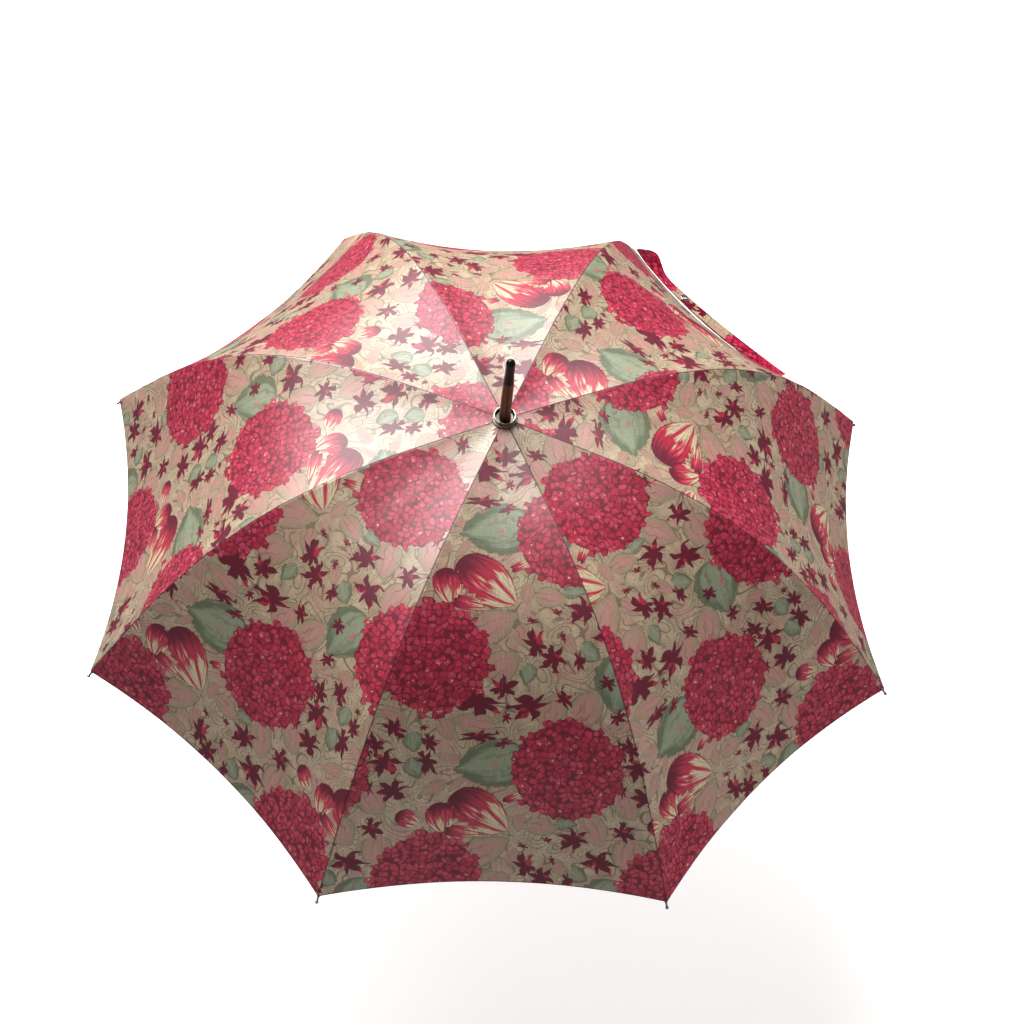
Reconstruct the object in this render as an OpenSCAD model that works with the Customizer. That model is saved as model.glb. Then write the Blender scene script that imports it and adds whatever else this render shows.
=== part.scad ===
// Stick umbrella with eight curved ribs, a sliding runner and a crook handle, shown open.
// +Z runs along the shaft towards the tip; the origin is in the middle of the straight grip.

/* [Canopy and ribs] */
// Length of a rib along its curve, from the shaft's axis to the fabric's corner
rib_len = 600; // [540:5:640]
// Distance along the rib to the stretcher's pin
stretcher_at = 330; // [300:5:340]
// How far the hem curves in between two rib tips
hem_rise = 9; // [0:1:40]
// How far a gore sinks between its ribs, as a share of its width there
gore_dip = 0.06; // [0:0.01:0.1]

/* [Shaft and tip] */
// Diameter of the wooden shaft
shaft_d = 14; // [12:0.5:15]
// Height of the canopy's centre above the middle of the grip
canopy_z = 690; // [690:5:730]
// Length of the wooden spike above the canopy
spike_len = 67; // [50:1:90]
// Length of the black end piece
end_len = 39; // [30:1:50]

/* [Handle] */
// Diameter of the wooden handle
handle_d = 21; // [18:0.5:26]
// Radius of the crook, to the middle of the wood
crook_r = 38; // [32:1:50]

/* [Hidden] */
RIBS = 8;
STEP = 360 / RIBS;
$fn = 96;

// The rib's curve: equal lengths, with the slope below level at each joint between them.
slope = [2, 2, 17, 38, 51, 54];
BENDS = len(slope) - 1;
bend_len = rib_len / BENDS;

// Small parts shared by the notch, the runner, the ribs and the stretchers.
clear = 0.15;
pin_clear = 0.08;
shaft_r = shaft_d / 2;
press_clear = 0.05;
bore_r = shaft_r + press_clear;
pivot_r = 11.5;
wire_r = 0.7;
eye_r = 2.3;
eye_w = 1.2;
eye_bore_r = wire_r + pin_clear;
crown_r = 14.5;
crown_h = 8;
slot_w = 1.7;
slot_in_r = 8.9;
rib_w = 3;
rib_h = 2.6;
rib_wall = 0.5;
rib_drop = 3.2;
rib_neck = 5.5;
rib_end_gap = 6;
pin_drop = 4.8;
pin_r = 0.9;
pin_head_r = 1.6;
pin_head_h = 0.6;
boss_r = 1.9;
cheek_w = 0.7;
cheek_r = 2;
fork_len = 12;
fork_block = 4;
stretcher_neck = 8;
neck_in = 0.2;
tip_r = 1.7;
tip_len = 8;
tip_taper = 2;
tip_pin_r = 1.1;
tip_pin_len = 5;
tip_ball_r = 1.9;
tip_ball_in = 0.6;
through = 1;

// Fabric.
cloth = 0.8;
seam_gap = 0.4;
gore_in = 15;
crown_cloth_r = 14.4;
gore_rows = 20;
gore_cols = 5;

// Heights along the shaft.
notch_z = canopy_z - 6.5;
pin_point = under(stretcher_at, pin_drop);
stretch_dx = pin_point.x - pivot_r;
stretch_dz = notch_z - pin_point.y;
stretcher_len = norm([stretch_dx, stretch_dz]);
stretcher_slope = atan(stretch_dz / stretch_dx);
runner_z = notch_z - 2 * stretch_dz;
runner_tube_r = 9.6;
runner_clear = 0.4;
runner_bore_r = shaft_r + runner_clear;
runner_len = 34;
runner_rim_r = 11;
runner_rim_h = 3;
window_drop = 22;
window_h = 16;
window_w = 3.2;
close_angle = 60;
runner_closed_z = notch_z - 2 * stretcher_len * sin(stretcher_slope + close_angle);
collar_h = 6;
collar_gap = 1.5;
handle_top = runner_closed_z - crown_h / 2 - runner_len - collar_gap - collar_h;
handle_bottom = -45;
shaft_bottom = -30;
collar_out = 1;
collar_r = handle_d / 2 + collar_out;
hook_len = 12;
end_dome = 1.6;
cup_r = 12.2;
cup_floor_r = 10.6;
cup_floor_h = 1.2;
cup_h = 6;
cup_wall = 0.8;
cup_lip_r = 0.6;
cup_z = canopy_z + 0.6;
spike_z = cup_z + cup_floor_h;
spike_base_r = 6.6;
spike_top_r = 6;
end_r = 5.2;
end_cone_h = 14;
stop_r = 1.2;
stop_out = 1.8;
stop_gap = 0.2;
stop_len = 2 * (shaft_r + stop_out);
stop_z = runner_z + crown_h / 2 + stop_r + stop_gap;

// Spring catches.
catch_w = 1.6;
catch_out = 3;
catch_nose = 3;
catch_gap = 0.2;
catch_rest = 0.5;
catch_len = 16;
catch_back = 3.4;
catch_slot_w = 2.2;
catch_slot_over = 1;
catch_slot_under = 2;
catch_slot_depth = shaft_r + 2 * catch_gap;
top_catch_z = runner_z - crown_h / 2 - runner_len - catch_rest;
bottom_catch_z = runner_closed_z - window_drop + window_h / 2 - 2 * catch_rest;

// Tie strap, lying along the hem of the gore between two ribs.
strap_rib = 5;
strap_w = 22;
strap_t = 1.2;
strap_lift = 2.2;
strap_from = 0.05;
strap_to = 0.72;
strap_up = 5;
strap_bridge = 6;
strap_steps = 16;
snap_at = 0.27;
snap_r = 6.5;
snap_h = 1.6;
snap_gap = 0.4;

function azimuth(k) = 292.5 - STEP * k;
function bend(i) = slope[i + 1] - slope[i];
function advance(p, l, a, t) = t == 0
  ? p + l * [cos(a), -sin(a)]
  : p + l / (t * PI / 180) * [sin(a + t) - sin(a), cos(a + t) - cos(a)];
function knot(i) = i == 0 ? [0, canopy_z] : advance(knot(i - 1), bend_len, slope[i - 1], bend(i - 1));
function piece(s) = min(floor(s / bend_len), BENDS - 1);
function slope_at(s) = slope[piece(s)] + bend(piece(s)) * (s / bend_len - piece(s));

// Point [radius, z] of the canopy at length s along a rib, and the point a distance d under it.
function over(s) = advance(
  knot(piece(s)), s - piece(s) * bend_len, slope[piece(s)], bend(piece(s)) * (s / bend_len - piece(s)));
function under(s, d) = over(s) - d * [sin(slope_at(s)), cos(slope_at(s))];

// Half a gore, from the rib at azimuth 0 (v = 0) to the gore's middle (v = 1), u from crown to hem.
function sink(v) = 1 - (1 - v) * (1 - v);
function hem_s(v) = rib_len - hem_rise * sink(v);
function gore_s(u, v) = gore_in + u * (hem_s(v) - gore_in);
function out_dir(a) = [sin(a) * cos(STEP / 2), sin(a) * sin(STEP / 2), cos(a)];
function middle(s) = let (r = over(s).x * cos(STEP / 2))
  [r * cos(STEP / 2) + seam_gap * sin(STEP / 2), r * sin(STEP / 2) - seam_gap * cos(STEP / 2), over(s).y];
function edge(s) = [over(s).x, seam_gap, over(s).y];
function gore_point(u, v) = let (s = gore_s(u, v), w = 2 * over(s).x * sin(STEP / 2))
  edge(s) * (1 - v) + middle(s) * v - gore_dip * w * sink(v) * out_dir(slope_at(s));
function unit(p) = p / norm(p);
function gore_normal(u, v) = let (e = 0.002)
  unit(cross(gore_point(u + e, v) - gore_point(u - e, v), gore_point(u, v + e) - gore_point(u, v - e)));

// One rib, at azimuth 0.
module channel() {
  difference() {
    square([rib_h, rib_w], center = true);
    translate([-rib_wall, 0]) square([rib_h, rib_w - 2 * rib_wall], center = true);
  }
}

module rib_bend(i, l) {
  t = bend(i) * l / bend_len;
  r = bend_len / (bend(i) * PI / 180);
  centre = knot(i) - r * [sin(slope[i]), cos(slope[i])];
  translate([centre.x, 0, centre.y]) rotate([90, 0, 0]) rotate([0, 0, 90 - slope[i] - t])
    rotate_extrude(angle = t, $fn = 360) translate([r - rib_drop, 0]) channel();
}

module pivot_eye() {
  rotate([90, 0, 0]) difference() {
    cylinder(r = eye_r, h = eye_w, center = true);
    cylinder(r = eye_bore_r, h = 2 * eye_w, center = true);
  }
}

module rib() {
  start = [pivot_r + rib_neck, notch_z];
  finish = under(bend_len, rib_drop);
  run = norm(finish - start);
  down = atan((start.y - finish.y) / (finish.x - start.x));
  color("silver") {
    translate([pivot_r, 0, notch_z]) pivot_eye();
    difference() {
      translate([pivot_r, -eye_w / 2, notch_z - rib_h / 2]) cube([rib_neck + through, eye_w, rib_h]);
      translate([pivot_r, 0, notch_z]) rotate([90, 0, 0])
        cylinder(r = eye_r - neck_in, h = 2 * eye_w, center = true);
    }
    translate([start.x, 0, start.y]) rotate([0, 90 + down, 0]) {
      linear_extrude(run) mirror([1, 0]) channel();
      linear_extrude(rib_h) square([rib_h, rib_w], center = true);
    }
    for (i = [1 : BENDS - 2]) rib_bend(i, bend_len);
    rib_bend(BENDS - 1, bend_len - rib_end_gap);
    rib_boss();
  }
}

module rib_boss() {
  foot = under(stretcher_at, rib_drop);
  a = slope_at(stretcher_at);
  translate([pin_point.x, 0, pin_point.y]) rotate([90, 0, 0]) {
    cylinder(r = boss_r, h = rib_w, center = true);
    cylinder(r = pin_r, h = rib_w + 2 * (clear + cheek_w + clear + pin_head_h), center = true);
    for (side = [-1, 1])
      translate([0, 0, side * (rib_w / 2 + clear + cheek_w + clear + pin_head_h / 2)])
        cylinder(r = pin_head_r, h = pin_head_h, center = true);
  }
  translate([foot.x, 0, foot.y]) rotate([0, a, 0])
    translate([-boss_r, -rib_w / 2, -(pin_drop - rib_drop)]) cube([2 * boss_r, rib_w, pin_drop - rib_drop]);
}

module rib_tip() {
  start = under(rib_len - rib_end_gap, rib_drop);
  a = slope_at(rib_len);
  color("gainsboro") translate([start.x, 0, start.y]) rotate([0, 90 + a, 0]) {
    cylinder(r = tip_r, h = tip_len);
    translate([0, 0, tip_len]) cylinder(r1 = tip_r, r2 = tip_pin_r, h = tip_taper);
    translate([0, 0, tip_len + tip_taper]) cylinder(r = tip_pin_r, h = tip_pin_len);
    translate([0, 0, tip_len + tip_taper + tip_pin_len + tip_ball_in]) sphere(r = tip_ball_r);
  }
}

module stretcher() {
  bar = stretcher_len - stretcher_neck - fork_len;
  color("silver") translate([pivot_r, 0, runner_z]) rotate([0, 90 - stretcher_slope, 0]) {
    pivot_eye();
    difference() {
      translate([-rib_h / 2, -eye_w / 2, 0]) cube([rib_h, eye_w, stretcher_neck + through]);
      rotate([90, 0, 0]) cylinder(r = eye_r - neck_in, h = 2 * eye_w, center = true);
    }
    translate([0, 0, stretcher_neck]) {
      linear_extrude(bar) channel();
      linear_extrude(rib_h) square([rib_h, rib_w], center = true);
    }
    translate([0, 0, stretcher_len - fork_len - fork_block / 2])
      cube([rib_h, rib_w + 2 * (clear + cheek_w), fork_block], center = true);
    for (side = [-1, 1]) translate([0, side * (rib_w / 2 + clear + cheek_w / 2), stretcher_len]) fork_cheek();
  }
}

module fork_cheek() {
  difference() {
    union() {
      rotate([90, 0, 0]) cylinder(r = cheek_r, h = cheek_w, center = true);
      translate([-rib_h / 2, -cheek_w / 2, -fork_len]) cube([rib_h, cheek_w, fork_len]);
    }
    rotate([90, 0, 0]) cylinder(r = pin_r + pin_clear, h = 2 * cheek_w, center = true);
  }
}

// Notch, runner and shaft.
module slotted_crown(bore) {
  difference() {
    cylinder(r = crown_r, h = crown_h, center = true);
    cylinder(r = bore, h = 2 * crown_h, center = true);
    rotate_extrude() translate([pivot_r - eye_bore_r, -eye_bore_r]) square([crown_r, 2 * eye_bore_r]);
    for (k = [1 : RIBS]) rotate([0, 0, azimuth(k)])
      translate([slot_in_r, -slot_w / 2, -crown_h]) cube([crown_r, slot_w, 2 * crown_h]);
  }
}

module pivot_wire() {
  rotate_extrude() translate([pivot_r, 0]) circle(r = wire_r, $fn = 24);
}

module top_notch() {
  color("dimgray") translate([0, 0, notch_z]) slotted_crown(bore_r);
}

module notch_wire() {
  color("silver") translate([0, 0, notch_z]) pivot_wire();
}

module runner() {
  color("dimgray") translate([0, 0, runner_z]) {
    slotted_crown(runner_bore_r);
    difference() {
      union() {
        translate([0, 0, -crown_h / 2 - runner_len]) cylinder(r = runner_tube_r, h = runner_len + through);
        translate([0, 0, -crown_h / 2 - runner_len]) cylinder(r = runner_rim_r, h = runner_rim_h);
      }
      translate([0, 0, -crown_h - runner_len]) cylinder(r = runner_bore_r, h = runner_len + 2 * crown_h);
      translate([0, -window_w / 2, -window_drop - window_h / 2]) cube([2 * runner_rim_r, window_w, window_h]);
    }
  }
}

module runner_wire() {
  color("silver") translate([0, 0, runner_z]) pivot_wire();
}

module catch_slot(z) {
  translate([shaft_r - catch_slot_depth, -catch_slot_w / 2, z - catch_len - catch_slot_under])
    cube([catch_slot_depth + through, catch_slot_w, catch_len + catch_slot_under + catch_slot_over]);
}

module catch(z) {
  front = shaft_r - catch_gap;
  back = front - catch_back;
  color("silver") translate([0, catch_w / 2, z]) rotate([90, 0, 0]) linear_extrude(catch_w) polygon([
    [back, -catch_len],
    [front, -catch_len],
    [shaft_r + catch_out, -catch_nose],
    [shaft_r + catch_out, 0],
    [back, 0]
  ]);
}

module shaft() {
  color("saddlebrown") difference() {
    translate([0, 0, shaft_bottom]) cylinder(r = shaft_r, h = spike_z - shaft_bottom);
    catch_slot(top_catch_z);
    catch_slot(bottom_catch_z);
    translate([0, 0, stop_z]) rotate([90, 0, 0])
      cylinder(r = stop_r + press_clear, h = 2 * stop_len, center = true);
  }
}

module stop_pin() {
  color("silver") translate([0, 0, stop_z]) rotate([90, 0, 0])
    cylinder(r = stop_r, h = stop_len, center = true);
}

module top_catch() {
  catch(top_catch_z);
}

module bottom_catch() {
  catch(bottom_catch_z);
}

// Top fittings.
module canopy_crown() {
  color("rosybrown") translate([0, 0, canopy_z - cloth / 2]) difference() {
    cylinder(r = crown_cloth_r, h = cloth);
    translate([0, 0, -cloth]) cylinder(r = bore_r, h = 3 * cloth);
  }
}

module crown_cup() {
  color("gainsboro") translate([0, 0, cup_z]) rotate_extrude() {
    polygon([
      [bore_r, 0],
      [cup_floor_r, 0],
      [cup_r, cup_h - cup_lip_r],
      [cup_r - cup_wall, cup_h - cup_lip_r],
      [cup_floor_r - cup_wall, cup_floor_h],
      [bore_r, cup_floor_h]
    ]);
    translate([cup_r - cup_wall / 2, cup_h - cup_lip_r]) circle(r = cup_lip_r, $fn = 24);
  }
}

module tip_spike() {
  color("saddlebrown") translate([0, 0, spike_z])
    cylinder(r1 = spike_base_r, r2 = spike_top_r, h = spike_len);
}

module tip_end() {
  color("black") translate([0, 0, spike_z + spike_len]) {
    cylinder(r1 = spike_top_r, r2 = end_r, h = end_cone_h);
    translate([0, 0, end_cone_h]) cylinder(r = end_r, h = end_len - end_r - end_cone_h);
    translate([0, 0, end_len - end_r]) sphere(r = end_r);
  }
}

// Handle.
module handle() {
  r = handle_d / 2;
  color("saddlebrown") {
    difference() {
      translate([0, 0, handle_bottom]) cylinder(r = r, h = handle_top - handle_bottom);
      translate([0, 0, shaft_bottom]) cylinder(r = bore_r, h = handle_top - shaft_bottom + through);
    }
    translate([crook_r, 0, handle_bottom]) rotate([90, 0, 0]) rotate([0, 0, 180])
      rotate_extrude(angle = 180) translate([crook_r, 0]) circle(r = r, $fn = 48);
    translate([2 * crook_r, 0, handle_bottom]) cylinder(r = r, h = hook_len);
  }
}

module handle_collar() {
  color("gainsboro") translate([0, 0, handle_top]) difference() {
    cylinder(r = collar_r, h = collar_h);
    translate([0, 0, -through]) cylinder(r = bore_r, h = collar_h + 2 * through);
  }
}

module handle_end() {
  r = handle_d / 2;
  color("gainsboro") translate([2 * crook_r, 0, handle_bottom + hook_len]) intersection() {
    cylinder(r = r, h = r / 2);
    translate([0, 0, r / 2 - end_dome * r]) sphere(r = end_dome * r);
  }
}

// Fabric.
module half_gore() {
  rows = gore_rows + 1;
  cols = gore_cols + 1;
  sheet = rows * cols;
  points = [for (side = [1, -1]) for (i = [0 : gore_rows]) for (j = [0 : gore_cols])
    let (u = i / gore_rows, v = j / gore_cols) gore_point(u, v) + side * cloth / 2 * gore_normal(u, v)];
  outer = [for (i = [0 : gore_rows - 1]) for (j = [0 : gore_cols - 1])
    let (a = i * cols + j) each [[a, a + 1, a + cols], [a + 1, a + cols + 1, a + cols]]];
  inner = [for (f = outer) [f[0] + sheet, f[2] + sheet, f[1] + sheet]];
  border = concat(
    [for (i = [0 : gore_rows - 1]) i * cols],
    [for (j = [0 : gore_cols - 1]) gore_rows * cols + j],
    [for (i = [0 : gore_rows - 1]) (gore_rows - i) * cols + gore_cols],
    [for (j = [0 : gore_cols - 1]) gore_cols - j]);
  rim = [for (i = [0 : len(border) - 1]) let (a = border[i], b = border[(i + 1) % len(border)])
    each [[a, b, a + sheet], [b, b + sheet, a + sheet]]];
  color("palevioletred") polyhedron(points, concat(outer, inner, rim), convexity = 4);
}

// The strap follows the hem outside the gore, from one rib towards the next, and bridges the gore's hollow.
function hem_point(w, up, lift) = let (v = 1 - abs(2 * w - 1), u = 1 - up / (hem_s(v) - gore_in),
    p = gore_point(u, v) + (lift + strap_bridge * sink(v)) * gore_normal(u, v),
    q = [p.x, w < 0.5 ? -p.y : p.y, p.z])
  w < 0.5 ? q : turned(q, -STEP);
function turned(p, a) = [p.x * cos(a) - p.y * sin(a), p.x * sin(a) + p.y * cos(a), p.z];

module strap() {
  corners = [[-strap_w / 2, 0], [strap_w / 2, 0], [strap_w / 2, strap_t], [-strap_w / 2, strap_t]];
  points = [for (i = [0 : strap_steps]) let (w = strap_from + (strap_to - strap_from) * i / strap_steps)
    each [for (c = corners) hem_point(w, strap_up + c.x, strap_lift + c.y)]];
  sides = [for (i = [0 : strap_steps - 1]) for (j = [0 : 3]) let (a = 4 * i + j, b = 4 * i + (j + 1) % 4)
    each [[a, b, a + 4], [b, b + 4, a + 4]]];
  last = 4 * strap_steps;
  ends = [[3, 2, 1], [3, 1, 0], [last, last + 1, last + 2], [last, last + 2, last + 3]];
  color("palevioletred") rotate([0, 0, azimuth(strap_rib)])
    polyhedron(points, concat(sides, ends), convexity = 4);
}

module strap_snap() {
  p = hem_point(snap_at, strap_up, strap_lift + strap_t + snap_gap);
  q = hem_point(snap_at, strap_up, strap_lift + strap_t + snap_gap + snap_h);
  d = q - p;
  color("gainsboro") rotate([0, 0, azimuth(strap_rib)]) translate(p)
    rotate([0, acos(d.z / norm(d)), atan2(d.y, d.x)]) cylinder(r = snap_r, h = snap_h);
}

shaft();
stop_pin();
top_notch();
notch_wire();
canopy_crown();
crown_cup();
tip_spike();
tip_end();
handle();
handle_collar();
handle_end();
runner();
runner_wire();
top_catch();
bottom_catch();
for (k = [1 : RIBS]) {
  rotate([0, 0, azimuth(k)]) rib();
  rotate([0, 0, azimuth(k)]) rib_tip();
  rotate([0, 0, azimuth(k)]) stretcher();
  rotate([0, 0, azimuth(k)]) half_gore();
  rotate([0, 0, azimuth(k)]) mirror([0, 1, 0]) half_gore();
}
strap();
strap_snap();
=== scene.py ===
"""Looks of the stick umbrella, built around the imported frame.

It makes the printed canopy, the tie strap, wood, metal, floor, light and camera.
"""

import math

import bpy
import numpy as np
from mathutils import Matrix, Vector


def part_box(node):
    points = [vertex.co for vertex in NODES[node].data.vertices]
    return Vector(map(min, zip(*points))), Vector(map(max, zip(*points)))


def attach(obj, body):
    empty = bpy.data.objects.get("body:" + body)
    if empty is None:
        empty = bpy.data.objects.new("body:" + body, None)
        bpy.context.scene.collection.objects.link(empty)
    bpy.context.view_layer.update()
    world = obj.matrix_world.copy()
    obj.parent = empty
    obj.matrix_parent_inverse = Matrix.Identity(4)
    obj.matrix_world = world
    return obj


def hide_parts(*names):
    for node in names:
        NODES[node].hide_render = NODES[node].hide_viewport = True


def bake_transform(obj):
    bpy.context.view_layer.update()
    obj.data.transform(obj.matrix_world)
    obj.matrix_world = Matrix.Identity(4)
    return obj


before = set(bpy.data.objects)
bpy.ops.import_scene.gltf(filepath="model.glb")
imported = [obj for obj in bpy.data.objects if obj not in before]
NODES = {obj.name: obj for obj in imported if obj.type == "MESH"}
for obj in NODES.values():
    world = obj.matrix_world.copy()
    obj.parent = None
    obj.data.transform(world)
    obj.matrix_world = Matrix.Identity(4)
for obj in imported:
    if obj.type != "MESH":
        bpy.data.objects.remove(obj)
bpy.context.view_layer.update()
MM = 0.001
RIBS = 8
STEP = math.radians(360 / RIBS)
HALF = STEP / 2

# ---------------------------------------------------------------- shape of the canopy, in mm
SLOPES = np.radians([2, 2, 17, 38, 51, 54])
RIB_LEN = 600.0
BEND = RIB_LEN / (len(SLOPES) - 1)
CANOPY_Z = 690.0
PAST_HEM = 40.0
HEM_RISE = 9.0
DIP = 0.06
CLOTH_IN = 13.2
CLOTH_T = 0.5
HEM_W = 6.2
SEAM_W = 5.5
FOLD_T = 0.7
# Shares of the half gore's width beside its middle: still cloth, and thinned cloth.
MIDLINE = 0.3
THINNED, THINNED_BY = 0.09, 0.8
# Each half's shift off the plane in which two halves meet, and off the plane of the rib.
HALVES_APART = 0.012
SEAM_GAP = 0.12
# How far the cloth is lowered under the cup, and where on the rib that ends.
UNDER_CUP, CUP_EDGE, CUP_RAMP = 0.55, 34.0, 20.0


def azimuth(k):
    return math.radians(292.5 - 45 * k)


def _profile():
    s = np.linspace(0, RIB_LEN + PAST_HEM, 2561)
    knots = np.append(SLOPES, 2 * SLOPES[-1] - SLOPES[-2])
    a = np.interp(s, np.arange(len(knots)) * BEND, knots)
    step = s[1] - s[0]

    def along(f):
        return np.concatenate([[0], np.cumsum((f[1:] + f[:-1]) / 2 * step)])

    r = along(np.cos(a))
    z = CANOPY_Z - along(np.sin(a))
    flat = along(np.sqrt((np.cos(a) * math.cos(HALF)) ** 2 + np.sin(a) ** 2))
    return s, a, r, z, flat


PROFILE = _profile()


def rib_at(s):
    """Slope, radius, height and length along the gore's middle, at length s along a rib."""
    t, a, r, z, flat = PROFILE
    return np.interp(s, t, a), np.interp(s, t, r), np.interp(s, t, z), np.interp(s, t, flat)


def sink(v):
    return 1 - (1 - v) ** 2


def fold_share(v):
    """How far a point of the cloth follows the fold about its rib: 0 at the seam, soon 1."""
    return 1 - (1 - v) ** 4


def gore_surface(s, v):
    """Middle of the cloth in the half gore beside the rib at azimuth 0.

    s runs down the rib in mm; v is 0 at the rib and 1 in the gore's middle.
    """
    a, r, z, flat = rib_at(s)
    edge = np.stack([r, np.zeros_like(r), z], -1)
    rm = r * math.cos(HALF)
    middle = np.stack([rm * math.cos(HALF), rm * math.sin(HALF), z], -1)
    out = np.stack([np.sin(a) * math.cos(HALF), np.sin(a) * math.sin(HALF), np.cos(a)], -1)
    w = 2 * r * math.sin(HALF)
    return edge * (1 - v)[..., None] + middle * v[..., None] - (DIP * w * sink(v))[..., None] * out


def gore_frame(s, v):
    """Point and outward normal."""
    e = 0.5
    p = gore_surface(s, v)
    ds = gore_surface(s + e, v) - gore_surface(s - e, v)
    dv = gore_surface(s, v + 0.004) - gore_surface(s, v - 0.004)
    n = np.cross(ds, dv)
    return p, n / np.linalg.norm(n, axis=-1, keepdims=True)


def turn(p, angle, mirror=False):
    """Turns points from the rib at azimuth 0, mirrored first for the half on its other side."""
    q = p * np.array([1, -1, 1]) if mirror else p
    c, s = math.cos(angle), math.sin(angle)
    return np.stack([q[..., 0] * c - q[..., 1] * s, q[..., 0] * s + q[..., 1] * c, q[..., 2]], -1)


# ---------------------------------------------------------------- the print's repeat, in mm of flat cloth
# x runs across and y towards the hem, from the middle of the first flower head.
REPEAT = np.array([275.0, 268.0])
HEAD_R = 66.0
HEADS = [(0, 0), (149, 127)]
# Bells: centre, half length, half width and direction in degrees, from the dome to the open end.
BELLS = [
    (56, -86, 39, 28, 36), (14, -80, 20, 17, 80), (38, -62, 24, 8, 8),
    (92, -106, 14, 5, -28), (-22, -80, 15, 11, 30),
]
# Leaves: centre, half length, half width and direction of the point.
LEAVES = [
    (64, -38, 31, 20, -28), (74, 6, 23, 20, -35), (95, -28, 14, 10, 70), (-56, -40, 22, 18, 100),
    (45, 72, 24, 13, 190), (17, 80, 14, 10, 60), (130, 55, 21, 18, -75), (168, 49, 21, 19, -60),
    (126, -70, 18, 12, 10), (182, -68, 21, 17, 60), (-60, 164, 20, 17, 60), (100, -74, 12, 8, 90),
    (20, 113, 16, 6, 200), (4, 150, 17, 8, 150), (64, 121, 40, 31, 170), (-19, 94, 12, 11, 80),
    (-16, 125, 14, 12, 70), (151, -76, 13, 8, 0), (167, -10, 14, 12, 30), (-74, 24, 33, 31, 100),
    (102, 15, 12, 10, 100), (-40, 62, 14, 9, 20), (146, -18, 13, 8, 60), (30, 145, 15, 5, 130),
]
# The leaves with these numbers are sage and the others pink.
SAGE_FROM, SAGE_TO = 14, 20
# Starry sprigs: centre, half length, half width and direction.
STARS = [
    (-61, -70, 15, 12, 20), (105, -45, 7, 4, 30), (110, -19, 18, 14, 60), (129, -4, 18, 15, 5),
    (139, -27, 7, 4, 70), (132, -54, 7, 4, 10), (160, -56, 20, 15, 0), (191, -29, 21, 17, 30),
    (157, 0, 14, 7, 80), (76, 31, 18, 15, 10), (50, 48, 29, 19, 15), (104, 52, 26, 16, 150),
    (142, 41, 13, 10, 60), (52, 88, 22, 9, 175), (81, 65, 8, 5, 90), (78, 96, 12, 6, 160),
    (-49, 117, 21, 17, 10), (-41, 151, 20, 14, 5), (-61, 95, 16, 11, 40), (-40, 77, 17, 11, 20),
    (-1, 95, 14, 9, 70), (-3, 118, 17, 11, 60), (-8, 77, 6, 4, 0), (-66, 145, 10, 7, 90),
    (5, 65, 6, 4, 40), (187, 22, 12, 8, 15), (205, 100, 13, 9, 60), (-75, 60, 12, 8, 130),
]
# Where each gore was cut from the repeat: the first head's middle, from the canopy's centre,
# and -1 for cloth laid the other way round.
CUTS = {
    1: (-75, 287, 1), 2: (-150, 284, 1), 3: (13, 275, 1), 4: (35, 290, 1),
    5: (-78, 290, 1), 6: (29, 286, -1), 7: (-65, 286, 1), 8: (-150, 284, 1),
}


def motif(face_t, corner_t, places):
    """For each face, the nearest motif in the repeat.

    Gives each corner's position in that motif's own frame, and the motif's number.
    """
    rows = np.array([(x, y, a, b, math.radians(turned)) for x, y, a, b, turned in places])
    d = face_t[:, None, :] - rows[None, :, :2]
    d = (d + REPEAT / 2) % REPEAT - REPEAT / 2
    reach = np.maximum(rows[:, 2], rows[:, 3])
    near = np.argmin(np.linalg.norm(d, axis=2) / reach[None], axis=1)
    pick = rows[near]
    base = d[np.arange(len(near)), near]
    q = corner_t - face_t[:, None, :] + base[:, None, :]
    c, s = np.cos(pick[:, 4])[:, None], np.sin(pick[:, 4])[:, None]
    along = (q[..., 0] * c + q[..., 1] * s) / pick[:, 2:3]
    across = (-q[..., 0] * s + q[..., 1] * c) / pick[:, 3:4]
    number = np.repeat(near[:, None].astype(float), q.shape[1], 1)
    return np.stack([along, across, number], -1)


LAYERS = {
    "head": [(x, y, HEAD_R, HEAD_R, 0) for x, y in HEADS],
    "bell": BELLS,
    "leaf": LEAVES,
    "star": STARS,
}


def print_attributes(mesh, flat_xy, cut):
    """Writes the cloth's flat position and each layer's motif frame on the mesh's corners."""
    n = len(mesh.loops)
    corner_vertex = np.zeros(n, int)
    mesh.loops.foreach_get("vertex_index", corner_vertex)
    starts = np.zeros(len(mesh.polygons), int)
    totals = np.zeros(len(mesh.polygons), int)
    mesh.polygons.foreach_get("loop_start", starts)
    mesh.polygons.foreach_get("loop_total", totals)
    assert (totals == 4).all()
    corners = starts[:, None] + np.arange(4)[None]
    xy = flat_xy[corner_vertex[corners]]
    t = (xy - np.array(cut[:2])) * cut[2]
    middle = t.mean(1)

    def write(name, values):
        out = np.zeros((n, 3), np.float32)
        out[corners.ravel()] = values.reshape(-1, 3)
        mesh.attributes.new(name, "FLOAT_VECTOR", "CORNER").data.foreach_set("vector", out.ravel())

    write("cloth", np.concatenate([t, np.zeros(t.shape[:2] + (1,))], -1))
    for name, places in LAYERS.items():
        write(name, motif(middle, t, places))


# ---------------------------------------------------------------- materials
def rgb(text):
    """Linear colour from six hex digits."""
    v = [int(text[i : i + 2], 16) / 255 for i in (0, 2, 4)]
    return tuple(x / 12.92 if x <= 0.04045 else ((x + 0.055) / 1.055) ** 2.4 for x in v) + (1.0,)


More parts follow.
